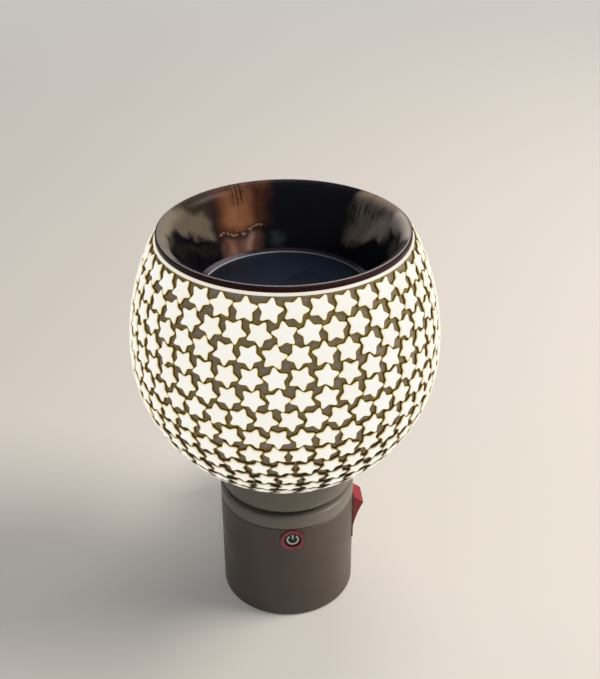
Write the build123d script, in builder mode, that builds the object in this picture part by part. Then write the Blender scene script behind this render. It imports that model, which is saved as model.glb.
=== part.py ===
from build123d import *
import math
import os

import numpy as np

# Plug-in wax melt warmer: a lit globe of star mosaic on a round base, with a lift-off wax dish.
# Millimetres. +Z is up and +Y points into the wall. The origin is the centre of the plug's
# face, where it meets the wall. Heights are measured up from the foot of the base.

# Where the lamp stands, seen from the plug
wall_gap = 3.44
overrun = 5.0
sliver = 0.05

# Base body and its rear barrel
base_radius = 23.0
base_wall = 2.0
body_height = 38.7
foot_round = 1.0
seam_bevel = 0.35
barrel_radius = 15.5
barrel_wall = 2.0
barrel_lip = 2.0

# Screw columns inside the base
column_inset = 5.6
column_radius = 3.0
column_angle = 40.0
column_rib = 1.6
pilot_radius = 1.3
pilot_depth = 10.0

# Bottom cover and its screws
cover_recess = 0.6
cover_thick = 1.8
cover_gap = 0.2
vent_length = 12.0
vent_width = 1.8
vent_pitch = 4.2
vent_count = 5
screw_radius = 1.25
screw_length = 8.0
screw_head_radius = 2.5
screw_head_height = 1.3
screw_hole_radius = 1.5
screw_slot_width = 0.6
screw_slot_depth = 0.5

# Collar ring between the body and the shade seat
collar_height = 4.9
collar_round = 1.4
collar_spigot_depth = 3.6
collar_spigot_wall = 1.4
collar_bore_wall = 2.6
spigot_gap = 0.2

# Shade seat: a cup that carries the globe
groove_height = 1.8
seat_inset = 0.6
seat_wall = 1.9
seat_plate = 2.4
seat_depth = 9.2
seat_spigot_depth = 4.6
seat_spigot_wall = 1.3
seat_edge = 0.6

# Globe of glass with grout, and its mouth
globe_radius = 48.2
glass_thick = 1.8
crown_radius = 78.2
crown_rise = 36.7
rim_bead = 0.5
rim_flare = 0.15
globe_hole_radius = 10.5

# Gasket under the globe
gasket_width = 1.5
gasket_height = 0.68
gasket_gap = 0.1

# Star tiles
star_tips = 5
star_tip = 3.8
star_valley = 2.25
star_top = 2.75
star_crown = 1.3
star_pitch = 6.9
star_ring_pitch = 7.2
star_nest = 6.5
star_step = 0.25
star_gap = 0.28
star_turns = 8
star_shuffle = 7
star_reach_share = 0.7
star_bed = 0.06

# Wax dish
dish_lip_inset = 0.1
dish_lip_height = 1.8
dish_lip_width = 0.8
dish_seat_gap = 0.15
dish_wall = 1.6
dish_throat_gap = 0.15
dish_flare = 7.1
dish_depth = 20.6
dish_floor_thick = 2.2
dish_ledge_width = 2.0
dish_ledge_step = 0.8
dish_foot_height = 0.6
dish_foot_width = 2.4

# Lamp holder, its ring nut and its metal parts
holder_drop = 9.0
holder_body_radius = 9.4
holder_flange_radius = 12.0
holder_flange_height = 2.0
holder_neck_radius = 9.0
holder_proud = 1.4
holder_bore_radius = 7.0
holder_floor_rise = 2.0
holder_gap = 0.15
nut_radius = 14.6
nut_height = 5.0
nut_lug_radius = 1.3
nut_lug_count = 10
shell_thick = 0.35
shell_height = 12.6
contact_radius = 3.0
contact_thick = 0.5
contact_rivet_radius = 1.3
contact_rivet_length = 2.0
terminal_width = 4.0
terminal_thick = 0.8
terminal_length = 4.6
holder_terminal_reach = 5.6

# Bulb
cap_radius = 6.3
cap_wall = 0.3
cap_height = 12.2
cap_ridge = 0.45
cap_ridges = 4
tip_radius = 1.6
tip_height = 0.7
insulator_height = 1.5
bulb_radius = 11.6
bulb_length = 42.1
bulb_glass = 0.8
bulb_sunk = 3.0
stem_radius = 2.2
stem_length = 15.6
filament_wire = 0.3
filament_rise = 27.6
filament_spread = 5.0

# Rocker switch on the right-hand side
switch_drop = 10.6
switch_sunk = 1.2
switch_face_sunk = 0.25
rocker_length = 16.4
rocker_nose_length = 13.7
rocker_width = 8.6
rocker_rise = 1.95
rocker_hollow = 0.6
rocker_pivot_depth = 2.75
rocker_belly = 2.4
rocker_tilt = 16.3
pivot_radius = 0.9
pivot_length = 0.6
pivot_gap = 0.06
switch_gap = 0.2
frame_wall = 0.7
frame_flange = 0.4
frame_corner = 0.9
frame_depth = 11.4
frame_floor = 1.4
tab_width = 4.0
tab_thick = 0.8
tab_length = 5.0
tab_pitch = 7.0
cut_gap = 0.15

# Power button in the front wall
button_drop = 4.4
button_sunk = 0.55
button_face_sunk = 0.15
ring_radius = 4.1
ring_flange = 0.85
ring_barrel_radius = 3.5
ring_bore_radius = 2.9
ring_depth = 1.7
button_radius = 2.75
button_flange_radius = 3.2
button_flange_thick = 0.6
button_stem_radius = 1.1
button_travel = 0.5
tact_size = 6.0
tact_depth = 3.4
tact_bore_radius = 1.25
tact_bore_depth = 2.6
plunger_radius = 1.15
notch_width = 9.6

# Control board and what is on it
board_setback = 8.85
board_thick = 1.6
board_half_width = 8.3
board_height = 23.6
board_drop = 2.7
post_radius = 2.1
post_spread = 5.6
post_rise = 4.0
post_pilot_radius = 0.9
board_screw_radius = 0.85
board_screw_head = 1.7
board_screw_head_thick = 1.1
board_screw_length = 5.0
led_radius = 1.5
led_length = 4.2
led_round_share = 0.9
led_rise = 14.8
capacitor_width = 10.0
capacitor_height = 8.0
capacitor_depth = 4.6
capacitor_drop = 3.6

# Turning plug head and blades
head_radius = 11.4
head_recess = 0.4
head_gap = 0.2
head_flange_radius = 13.1
head_flange_thick = 3.0
head_hub_radius = 9.4
head_hub_length = 3.2
blade_width = 6.35
blade_thick = 1.5
blade_reach = 17.5
blade_spacing = 12.7
blade_hole_radius = 1.6
blade_hole_reach = 14.0
blade_taper = 0.45
blade_tip = 1.2
blade_gap = 0.04
retainer_thick = 2.0
retainer_gap = 0.3
slip_thick = 0.8
slip_outer_radius = 9.2
slip_width = 1.4
slip_inner_radius = 5.2
slip_tab_width = 2.4
brush_width = 2.4
brush_thick = 0.5
brush_length = 4.2
block_thick = 2.4
block_gap = 0.3

# Wires inside the base
wire_radius = 0.6
wire_bend = 1.4
wire_gap = 0.3
neutral_rise = 2.6
live_run = 5.4
switched_run = 2.1

wall_reach = globe_radius + star_bed + star_crown + wall_gap
plug_height = body_height / 2
base_bore = base_radius - base_wall
column_reach = base_bore - column_inset
seat_radius = base_radius - seat_inset
barrel_bore = barrel_radius - barrel_wall
collar_top = body_height + collar_height
collar_bore = base_radius - collar_bore_wall
collar_spigot_radius = base_bore - spigot_gap
collar_spigot_bore = collar_spigot_radius - collar_spigot_wall
seat_bottom = collar_top + groove_height
seat_top = seat_bottom + seat_depth
seat_floor = seat_bottom + seat_plate
seat_bore = seat_radius - seat_wall
seat_spigot_radius = collar_bore - spigot_gap
cover_bottom = cover_recess
cover_top = cover_recess + cover_thick
switch_height = body_height - switch_drop
frame_width = rocker_width + 2 * (switch_gap + frame_wall)
frame_length = rocker_length + 2 * (switch_gap + frame_wall)
switch_flat = base_radius - switch_sunk
switch_face = base_radius - switch_face_sunk
button_height = body_height - button_drop
button_flat = base_radius - button_sunk
button_face = base_radius - button_face_sunk
board_face = button_flat - board_setback
board_bottom = body_height - board_drop - board_height
post_height = board_bottom + post_rise
equator_height = seat_top + gasket_height + gasket_gap + math.sqrt(globe_radius ** 2 - seat_bore ** 2)
columns = [(side_x * column_reach * math.cos(math.radians(column_angle)),
            side_y * column_reach * math.sin(math.radians(column_angle)))
           for side_x in (1, -1) for side_y in (1, -1)]

# Planes and axes: the lamp's own axis stands wall_reach in front of the wall
lamp_axis = Axis((0, -wall_reach, 0), (0, 0, 1))
profile = Plane(origin=(0, -wall_reach, -plug_height), x_dir=(1, 0, 0), z_dir=(0, -1, 0))


def level(height):
    """Level plane at a height above the foot, centred on the lamp's axis."""
    return Plane(origin=(0, -wall_reach, height - plug_height))


def front(distance, height):
    """Upright plane facing the room, a distance in front of the lamp's axis."""
    return Plane(origin=(0, -wall_reach - distance, height - plug_height),
                 x_dir=(1, 0, 0), z_dir=(0, -1, 0))


def right_side(distance, height):
    """Upright plane facing +X, a distance to the right of the lamp's axis."""
    return Plane(origin=(distance, -wall_reach, height - plug_height),
                 x_dir=(0, 1, 0), z_dir=(1, 0, 0))


def behind(distance):
    """Upright plane facing the wall, a distance in front of it, centred on the plug."""
    return Plane(origin=(0, -distance, 0), x_dir=(-1, 0, 0), z_dir=(0, 1, 0))


os.makedirs("parts", exist_ok=True)


def save(built, name):
    """Labels a finished piece and writes its STEP file."""
    built.part.label = name
    export_step(built.part, f"parts/{name}.step")


# Base body: a tube with a barrel behind it for the plug, screw columns and a switch flat
with BuildPart() as base_body:
    with BuildSketch(profile):
        with BuildLine():
            Polyline((base_bore, 0), (base_radius - foot_round, 0))
            RadiusArc((base_radius - foot_round, 0), (base_radius, foot_round), -foot_round)
            Polyline((base_radius, foot_round), (base_radius, body_height - seam_bevel),
                     (base_radius - seam_bevel, body_height), (base_bore, body_height), (base_bore, 0))
        make_face()
    revolve(axis=lamp_axis)
    with BuildSketch(behind(0)):
        Circle(barrel_radius)
    extrude(amount=-(wall_reach - base_bore * math.cos(math.asin(barrel_radius / base_radius))))
    with BuildSketch(level(0)):
        Circle(base_bore)
    extrude(amount=body_height, mode=Mode.SUBTRACT)
    with BuildSketch(behind(barrel_lip)):
        Circle(barrel_bore)
    extrude(amount=-(wall_reach - barrel_lip), mode=Mode.SUBTRACT)
    with BuildSketch(behind(0)):
        Circle(head_radius + head_gap)
    extrude(amount=-wall_reach, mode=Mode.SUBTRACT)
    with BuildSketch(level(cover_top)):
        with Locations(*columns):
            Circle(column_radius)
    extrude(amount=seat_bottom - cover_top)
    with BuildSketch(level(cover_top)):
        for x, y in columns:
            angle = math.degrees(math.atan2(y, x))
            reach = base_bore + base_wall / 2 - column_reach
            with Locations(Location((x, y, 0), angle)):
                Rectangle(reach, column_rib, align=(Align.MIN, Align.CENTER))
    extrude(amount=body_height - collar_spigot_depth - sliver - cover_top)
    with BuildSketch(level(cover_top)):
        with Locations(*columns):
            Circle(pilot_radius)
    extrude(amount=pilot_depth, mode=Mode.SUBTRACT)
    with BuildSketch(level(seat_bottom)):
        with Locations(*columns):
            Circle(pilot_radius)
    extrude(amount=-pilot_depth, mode=Mode.SUBTRACT)
    with BuildSketch(front(board_face, post_height)):
        with Locations((-post_spread, 0), (post_spread, 0)):
            Circle(post_radius)
    extrude(amount=base_bore + base_wall / 2 - board_face
            - (base_bore - math.sqrt(base_bore ** 2 - (post_spread + post_radius) ** 2)))
    with BuildSketch(front(board_face, post_height)):
        with Locations((-post_spread, 0), (post_spread, 0)):
            Circle(post_pilot_radius)
    extrude(amount=board_screw_length, mode=Mode.SUBTRACT)
    with BuildSketch(right_side(switch_flat, switch_height)):
        RectangleRounded(frame_width + 2 * (frame_flange + switch_gap),
                         frame_length + 2 * (frame_flange + switch_gap), frame_corner)
    extrude(amount=base_radius, mode=Mode.SUBTRACT)
    with BuildSketch(right_side(switch_flat + overrun, switch_height)):
        Rectangle(frame_width + 2 * cut_gap, frame_length + 2 * cut_gap)
    extrude(amount=-2 * overrun, mode=Mode.SUBTRACT)
    with BuildSketch(front(button_flat, button_height)):
        Circle(ring_radius + cut_gap)
    extrude(amount=overrun, mode=Mode.SUBTRACT)
    with BuildSketch(front(button_flat + overrun, button_height)):
        Circle(ring_barrel_radius + cut_gap)
    extrude(amount=-2 * overrun, mode=Mode.SUBTRACT)
save(base_body, "base_body")

# Bottom cover with vent slots, held up into the body by four countersunk screws
with BuildPart() as bottom_cover:
    with BuildSketch(level(cover_bottom)):
        Circle(base_bore - cover_gap)
    extrude(amount=cover_thick)
    with Locations(level(cover_bottom)):
        with Locations(*[(x, y, 0) for x, y in columns]):
            with Locations(Location((0, 0, 0), (180, 0, 0))):
                CounterSinkHole(screw_hole_radius, screw_head_radius + sliver, depth=cover_thick)
    with BuildSketch(level(cover_bottom)):
        with GridLocations(0, vent_pitch, 1, vent_count):
            SlotOverall(vent_length, vent_width)
    extrude(amount=cover_thick, mode=Mode.SUBTRACT)
save(bottom_cover, "bottom_cover")


def countersunk_screw(plane):
    """A cross-slotted screw: its head's face lies on the plane and its shank points against its normal."""
    with BuildPart() as screw:
        with BuildSketch(plane):
            Circle(screw_head_radius)
        with BuildSketch(plane.offset(-screw_head_height)):
            Circle(screw_radius)
        loft()
        with BuildSketch(plane.offset(-screw_head_height)):
            Circle(screw_radius)
        extrude(amount=-(screw_length - screw_head_height))
        with BuildSketch(plane):
            Rectangle(screw_head_radius, screw_slot_width)
            Rectangle(screw_slot_width, screw_head_radius)
        extrude(amount=-screw_slot_depth, mode=Mode.SUBTRACT)
    return screw.part


def turned_down(height):
    """Level plane at a height above the foot that faces down."""
    return Plane(origin=(0, -wall_reach, height - plug_height), x_dir=(1, 0, 0), z_dir=(0, 0, -1))


with BuildPart() as cover_screws:
    driven = countersunk_screw(turned_down(cover_bottom))
    with Locations(*[(x, y, 0) for x, y in columns]):
        add(driven)
save(cover_screws, "cover_screws")

# Collar ring: its spigot goes down into the body, and its bore takes the seat's spigot
with BuildPart() as collar_ring:
    with BuildSketch(profile):
        with BuildLine():
            Polyline((collar_bore, collar_top), (base_radius - collar_round, collar_top))
            RadiusArc((base_radius - collar_round, collar_top), (base_radius, collar_top - collar_round),
                      collar_round)
            Polyline((base_radius, collar_top - collar_round),
                     (base_radius, body_height + seam_bevel + sliver),
                     (base_radius - seam_bevel, body_height + sliver),
                     (collar_spigot_radius, body_height + sliver),
                     (collar_spigot_radius, body_height - collar_spigot_depth),
                     (collar_spigot_bore, body_height - collar_spigot_depth),
                     (collar_spigot_bore, seat_bottom - seat_spigot_depth - sliver),
                     (collar_bore, seat_bottom - seat_spigot_depth - sliver),
                     (collar_bore, collar_top))
        make_face()
    revolve(axis=lamp_axis)
    with BuildSketch(front(0, body_height - collar_spigot_depth)):
        Rectangle(notch_width, collar_spigot_depth, align=(Align.CENTER, Align.MIN))
    extrude(amount=base_bore, mode=Mode.SUBTRACT)
    with BuildSketch(right_side(0, body_height - collar_spigot_depth)):
        Rectangle(frame_width + 2 * switch_gap, collar_spigot_depth, align=(Align.CENTER, Align.MIN))
    extrude(amount=base_bore, mode=Mode.SUBTRACT)
save(collar_ring, "collar_ring")

# Shade seat: the cup under the globe
with BuildPart() as shade_seat:
    with BuildSketch(profile):
        with BuildLine():
            Polyline((holder_neck_radius + holder_gap, seat_bottom),
                     (seat_spigot_radius - seat_spigot_wall, seat_bottom),
                     (seat_spigot_radius - seat_spigot_wall, seat_bottom - seat_spigot_depth),
                     (seat_spigot_radius, seat_bottom - seat_spigot_depth),
                     (seat_spigot_radius, seat_bottom), (seat_radius - seat_edge, seat_bottom),
                     (seat_radius, seat_bottom + seat_edge), (seat_radius, seat_top - seat_edge),
                     (seat_radius - seat_edge, seat_top), (seat_bore, seat_top), (seat_bore, seat_floor),
                     (holder_neck_radius + holder_gap, seat_floor),
                     (holder_neck_radius + holder_gap, seat_bottom))
        make_face()
    revolve(axis=lamp_axis)
    with Locations(level(seat_floor)):
        with Locations(*[(x, y, 0) for x, y in columns]):
            CounterSinkHole(screw_hole_radius, screw_head_radius + sliver, depth=seat_plate)
save(shade_seat, "shade_seat")

with BuildPart() as seat_screws:
    driven = countersunk_screw(level(seat_floor))
    with Locations(*[(x, y, 0) for x, y in columns]):
        add(driven)
save(seat_screws, "seat_screws")


def sphere_height(radius, reach):
    """Height of the globe's lower half, of a given radius, at a reach from the lamp's axis."""
    return equator_height - math.sqrt(radius ** 2 - reach ** 2)


def crown_reach(radius, height):
    """Reach of the globe's upper arc, of a given radius, at a height."""
    return globe_radius - crown_radius + math.sqrt(radius ** 2 - (height - equator_height) ** 2)


# Globe: a spherical lower half, a steeper crown, and a beaded mouth
mouth_height = equator_height + crown_rise
rim_centre = (crown_reach(crown_radius, mouth_height) + rim_flare, mouth_height)
inner_radius = globe_radius - glass_thick
inner_crown = crown_radius - glass_thick
with BuildPart() as shade_globe:
    with BuildSketch(profile):
        with BuildLine():
            hole_out = (globe_hole_radius, sphere_height(globe_radius, globe_hole_radius))
            hole_in = (globe_hole_radius, sphere_height(inner_radius, globe_hole_radius))
            top_out = (crown_reach(crown_radius, mouth_height), mouth_height)
            top_in = (crown_reach(inner_crown, mouth_height), mouth_height)
            RadiusArc(hole_out, (globe_radius, equator_height), -globe_radius)
            RadiusArc((globe_radius, equator_height), top_out, -crown_radius)
            Line(top_out, top_in)
            RadiusArc(top_in, (inner_radius, equator_height), inner_crown)
            RadiusArc((inner_radius, equator_height), hole_in, inner_radius)
            Line(hole_in, hole_out)
        make_face()
        with Locations(rim_centre):
            Circle(rim_bead)
    revolve(axis=lamp_axis)
save(shade_globe, "shade_globe")

# Gasket between the seat's rim and the globe
gasket_inner = seat_bore
gasket_outer = seat_bore + gasket_width
with BuildPart() as shade_gasket:
    with BuildSketch(profile):
        with BuildLine():
            Polyline((gasket_inner, seat_top), (gasket_outer, seat_top),
                     (gasket_outer, sphere_height(globe_radius, gasket_outer) - gasket_gap),
                     (gasket_inner, sphere_height(globe_radius, gasket_inner) - gasket_gap),
                     (gasket_inner, seat_top))
        make_face()
    revolve(axis=lamp_axis)
save(shade_gasket, "shade_gasket")


half_turn = math.pi / star_tips


def outline_reach(angle):
    """How far a star's outline is from its centre in each direction, with a tip at angle zero."""
    folded = np.abs((angle + half_turn) % (2 * half_turn) - half_turn)
    return (star_tip * star_valley * math.sin(half_turn)
            / (star_tip * np.sin(folded) + star_valley * np.sin(half_turn - folded)))


def star_points(turn, count):
    """Points round a star's outline, its tips and valleys among them, as local x and y."""
    angles = np.arange(count) * 2 * math.pi / count
    reach = outline_reach(angles)
    return np.stack([reach * np.cos(angles + turn), reach * np.sin(angles + turn)], axis=1)


def globe_frame(arc, angle):
    """Point on the globe's outside, an arc length down from the equator, with its side and up directions."""
    radius, centre = (globe_radius, 0) if arc > 0 else (crown_radius, globe_radius - crown_radius)
    slope = -arc / radius
    out = np.array([math.cos(angle), math.sin(angle), 0])
    rise = np.array([0, 0, 1])
    place = (centre + radius * math.cos(slope)) * out + (equator_height + radius * math.sin(slope)) * rise
    side = np.array([-math.sin(angle), math.cos(angle), 0])
    return place, side, math.cos(slope) * rise - math.sin(slope) * out


def room_between(tile, other):
    """Smallest gap from one star's outline points to another star's outline."""
    place, side, up, turn = tile[:4]
    flat = star_points(turn, 4 * star_tips)
    away = place + flat[:, :1] * side + flat[:, 1:] * up - other[0]
    x, y = away @ other[1], away @ other[2]
    return float(np.min(np.hypot(x, y) - outline_reach(np.arctan2(y, x) - other[3])))


def fits(tile, near):
    """Whether a star keeps the mosaic's gap to every star near it."""
    close = [other for other in near if np.linalg.norm(other[0] - tile[0]) < 2 * star_tip + star_gap]
    return all(min(room_between(tile, other), room_between(other, tile)) > star_gap for other in close)


def nest_star(start, last, angle, near, first_turn, under_rim):
    """The highest place and turn at one angle where a star fits among those laid, if there is one."""
    arc = start
    while arc < last:
        for step in range(star_turns):
            turn = math.pi / 2 + (first_turn + step) % star_turns * 2 * half_turn / star_turns
            drop = star_points(turn, 4 * star_tips)[:, 1].max() if under_rim else 0
            place, side, up = globe_frame(arc + drop, angle)
            if fits((place, side, up, turn), near):
                return place, side, up, turn, arc + drop, angle
        arc += star_step
    return None


def lay_stars():
    """Lays the mosaic in rings from the mouth down, each star slid up until it nests under those above."""
    mouth = rim_bead + star_gap / 2 - crown_radius * math.asin(crown_rise / crown_radius)
    last = globe_radius * math.acos(seat_radius / globe_radius) - star_tip
    laid, above, ring_arc, phase = [], [], mouth + star_tip, math.pi / 2
    while ring_arc < last + star_tip / 2:
        count = int(2 * math.pi * math.hypot(*globe_frame(ring_arc, 0)[0][:2]) / star_pitch)
        phase += math.pi / count
        ring = []
        for step in range(count):
            angle = phase + 2 * math.pi * step / count
            apart = 2 * math.pi / count * star_reach_share
            over = [tile[4] for tile in above
                    if abs((tile[5] - angle + math.pi) % (2 * math.pi) - math.pi) < apart]
            start = min(over, default=ring_arc - star_nest) + star_nest if above else mouth
            middle = globe_frame(start, angle)[0]
            near = [tile for tile in laid + ring if np.linalg.norm(tile[0] - middle) < 4 * star_tip]
            star = nest_star(start, last + star_tip / 4, angle, near,
                             (len(laid) + len(ring)) * star_shuffle, not above)
            if star:
                ring.append(star)
        if not ring:
            break
        laid += ring
        above = ring
        ring_arc = sum(tile[4] for tile in ring) / len(ring) + star_ring_pitch
    return laid


# One star tile: a star-shaped foot whose sides rise steeply to a flat five-sided top
tile_foot = [Vector(float(x), float(y), 0) for x, y in star_points(0, 2 * star_tips)]
tile_top = [Vector(star_top, 0, star_crown).rotate(Axis.Z, math.degrees(2 * half_turn * step))
            for step in range(star_tips)]
tile_faces = [Face(Wire.make_polygon(tile_foot)), Face(Wire.make_polygon(tile_top))]
for step, corner in enumerate(tile_top):
    before, point, after = tile_foot[2 * step - 1], tile_foot[2 * step], tile_foot[2 * step + 1]
    for side_face in ((before, point, corner), (point, after, corner),
                      (after, tile_top[(step + 1) % star_tips], corner)):
        tile_faces.append(Face(Wire.make_polygon(side_face)))
with BuildPart() as tile:
    add(Solid(Shell(tile_faces)))

tile_places = []
for place, side, up, turn, *_ in lay_stars():
    out = np.cross(side, up)
    origin = place + out * star_bed + np.array([0, -wall_reach, -plug_height])
    tip = math.cos(turn) * side + math.sin(turn) * up
    tile_places.append(Plane(origin=tuple(origin), x_dir=tuple(tip), z_dir=tuple(out)).location)
with BuildPart() as star_tiles:
    with Locations(*tile_places):
        add(tile.part)
print("star tiles", len(star_tiles.part.solids()))
save(star_tiles, "star_tiles")

# Wax dish: a flared bowl whose lip rests on the globe's mouth
dish_throat_radius = crown_reach(inner_crown, mouth_height) - dish_wall - dish_throat_gap
dish_floor_radius = dish_throat_radius - dish_flare
dish_lip_radius = rim_centre[0] - dish_lip_inset
lip_bottom = mouth_height + rim_bead + dish_seat_gap
lip_top = lip_bottom + dish_lip_height
ledge_height = lip_top - dish_depth
dish_floor = ledge_height - dish_ledge_step
dish_underside = dish_floor - dish_floor_thick
foot_outer = dish_floor_radius - dish_foot_width / 2
foot_inner = foot_outer - dish_foot_width
with BuildPart() as wax_dish:
    with BuildSketch(profile):
        with BuildLine():
            wall_top = (dish_throat_radius, lip_bottom - dish_lip_height / 2)
            lip_inner = (dish_lip_radius - dish_lip_width, lip_top)
            Polyline((0, dish_floor), (dish_floor_radius - dish_ledge_width, dish_floor),
                     (dish_floor_radius - dish_ledge_width + dish_ledge_step / 2, ledge_height),
                     (dish_floor_radius, ledge_height), wall_top)
            wall_slope = (wall_top[0] - dish_floor_radius, wall_top[1] - ledge_height)
            TangentArc(wall_top, lip_inner, tangent=wall_slope)
            Polyline(lip_inner, (dish_lip_radius, lip_top - dish_lip_width / 2),
                     (dish_lip_radius, lip_bottom),
                     (dish_throat_radius + dish_wall + dish_lip_width / 4, lip_bottom),
                     (dish_floor_radius + dish_wall, ledge_height),
                     (dish_floor_radius, dish_underside),
                     (foot_outer, dish_underside), (foot_outer, dish_underside - dish_foot_height),
                     (foot_inner, dish_underside - dish_foot_height), (foot_inner, dish_underside),
                     (0, dish_underside), (0, dish_floor))
        make_face()
    revolve(axis=lamp_axis)
save(wax_dish, "wax_dish")

# Lamp holder: porcelain, clamped under the seat by its flange
nut_bottom = sphere_height(inner_radius, nut_radius) + gasket_gap
holder_bottom = seat_bottom - holder_drop
holder_floor = seat_bottom + holder_floor_rise
holder_top = nut_bottom + nut_height + holder_proud
with BuildPart() as lamp_holder:
    with BuildSketch(profile):
        with BuildLine():
            Polyline((0, holder_bottom), (holder_body_radius, holder_bottom),
                     (holder_body_radius, seat_bottom - holder_flange_height),
                     (holder_flange_radius, seat_bottom - holder_flange_height),
                     (holder_flange_radius, seat_bottom), (holder_neck_radius, seat_bottom),
                     (holder_neck_radius, holder_top), (holder_bore_radius, holder_top),
                     (holder_bore_radius, holder_floor), (0, holder_floor), (0, holder_bottom))
        make_face()
    revolve(axis=lamp_axis)
    with BuildSketch(level(holder_floor)):
        Circle(contact_rivet_radius + sliver)
    extrude(amount=-contact_rivet_length, mode=Mode.SUBTRACT)
save(lamp_holder, "lamp_holder")

# Ring nut that clamps the globe down on its gasket
with BuildPart() as ring_nut:
    with BuildSketch(level(nut_bottom)):
        Circle(nut_radius)
        with PolarLocations(nut_radius + nut_lug_radius / 2, nut_lug_count):
            Circle(nut_lug_radius, mode=Mode.SUBTRACT)
        Circle(holder_neck_radius + holder_gap, mode=Mode.SUBTRACT)
    extrude(amount=nut_height)
save(ring_nut, "ring_nut")

# Threaded shell and centre contact in the holder
shell_outer = holder_bore_radius - sliver
with BuildPart() as holder_shell:
    with BuildSketch(profile):
        with BuildLine():
            Polyline((contact_radius + 2 * sliver, holder_floor), (shell_outer, holder_floor),
                     (shell_outer, holder_floor + shell_height),
                     (shell_outer - shell_thick, holder_floor + shell_height),
                     (shell_outer - shell_thick, holder_floor + shell_thick),
                     (contact_radius + 2 * sliver, holder_floor + shell_thick),
                     (contact_radius + 2 * sliver, holder_floor))
        make_face()
    revolve(axis=lamp_axis)
save(holder_shell, "holder_shell")

with BuildPart() as holder_contact:
    with BuildSketch(level(holder_floor)):
        Circle(contact_radius)
    extrude(amount=contact_thick)
    with BuildSketch(level(holder_floor)):
        Circle(contact_rivet_radius)
    extrude(amount=-contact_rivet_length)
save(holder_contact, "holder_contact")

with BuildPart() as holder_terminals:
    with BuildSketch(level(holder_bottom)):
        with Locations((0, -holder_terminal_reach), (0, holder_terminal_reach)):
            Rectangle(terminal_width, terminal_thick)
    extrude(amount=-terminal_length)
save(holder_terminals, "holder_terminals")

# Bulb: cap, insulator, tip, envelope, stem and filament
tip_bottom = holder_floor + contact_thick + sliver
cap_bottom = tip_bottom + tip_height + insulator_height
cap_top = cap_bottom + cap_height
with BuildPart() as bulb_cap:
    with BuildSketch(profile):
        with BuildLine():
            ridge_step = (cap_height - 2 * cap_wall) / cap_ridges
            outer = [(cap_radius - cap_ridge, cap_bottom)]
            for ridge in range(cap_ridges):
                ridge_low = cap_bottom + cap_wall + ridge * ridge_step
                outer += [(cap_radius - cap_ridge, ridge_low), (cap_radius, ridge_low + ridge_step / 2)]
            outer += [(cap_radius - cap_ridge, cap_top - cap_wall), (cap_radius - cap_ridge, cap_top)]
            inner = cap_radius - cap_ridge - cap_wall
            Polyline(*outer, (inner, cap_top), (inner, cap_bottom + cap_wall),
                     (contact_radius, cap_bottom + cap_wall), (contact_radius, cap_bottom), outer[0])
        make_face()
    revolve(axis=lamp_axis)
save(bulb_cap, "bulb_cap")

with BuildPart() as bulb_insulator:
    with BuildSketch(level(cap_bottom - insulator_height)):
        Circle(tip_radius + insulator_height / 2)
    with BuildSketch(level(cap_bottom)):
        Circle(cap_radius - cap_ridge)
    loft()
save(bulb_insulator, "bulb_insulator")

with BuildPart() as bulb_tip:
    with BuildSketch(level(tip_bottom)):
        Circle(tip_radius)
    extrude(amount=tip_height)
save(bulb_tip, "bulb_tip")

neck_radius = cap_radius - cap_ridge - cap_wall - sliver
glass_bottom = cap_top - bulb_sunk
bulb_top = cap_top + bulb_length
bulb_widest = bulb_top - bulb_radius
stem_top = cap_top + stem_length
filament_height = cap_top + filament_rise
with BuildPart() as bulb_envelope:
    with BuildSketch(profile):
        with BuildLine():
            for skin in (0, bulb_glass):
                Line((neck_radius - skin, glass_bottom), (neck_radius - skin, cap_top))
                Spline((neck_radius - skin, cap_top), (bulb_radius - skin, bulb_widest),
                       tangents=((0, 1), (0, 1)))
                CenterArc((0, bulb_widest), bulb_radius - skin, 0, 90)
            Line((neck_radius, glass_bottom), (neck_radius - bulb_glass, glass_bottom))
            Line((0, bulb_top), (0, bulb_top - bulb_glass))
        make_face()
    revolve(axis=lamp_axis)
save(bulb_envelope, "bulb_envelope")

with BuildPart() as bulb_stem:
    with BuildSketch(profile):
        with BuildLine():
            Polyline((0, glass_bottom), (neck_radius - bulb_glass - sliver, glass_bottom),
                     (stem_radius, cap_top), (stem_radius, stem_top - stem_radius),
                     (stem_radius / 2, stem_top), (0, stem_top), (0, glass_bottom))
        make_face()
    revolve(axis=lamp_axis)
save(bulb_stem, "bulb_stem")

with BuildPart() as filament:
    with BuildLine(profile) as filament_path:
        FilletPolyline((-stem_radius / 3, stem_top), (-stem_radius / 3, stem_top + stem_radius),
                       (-filament_spread, filament_height), (0, filament_height - filament_spread / 2),
                       (filament_spread, filament_height), (stem_radius / 3, stem_top + stem_radius),
                       (stem_radius / 3, stem_top), radius=filament_wire * 2)
    with BuildSketch(Plane(filament_path.line @ 0, z_dir=filament_path.line % 0)):
        Circle(filament_wire)
    sweep()
save(filament, "filament")

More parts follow.
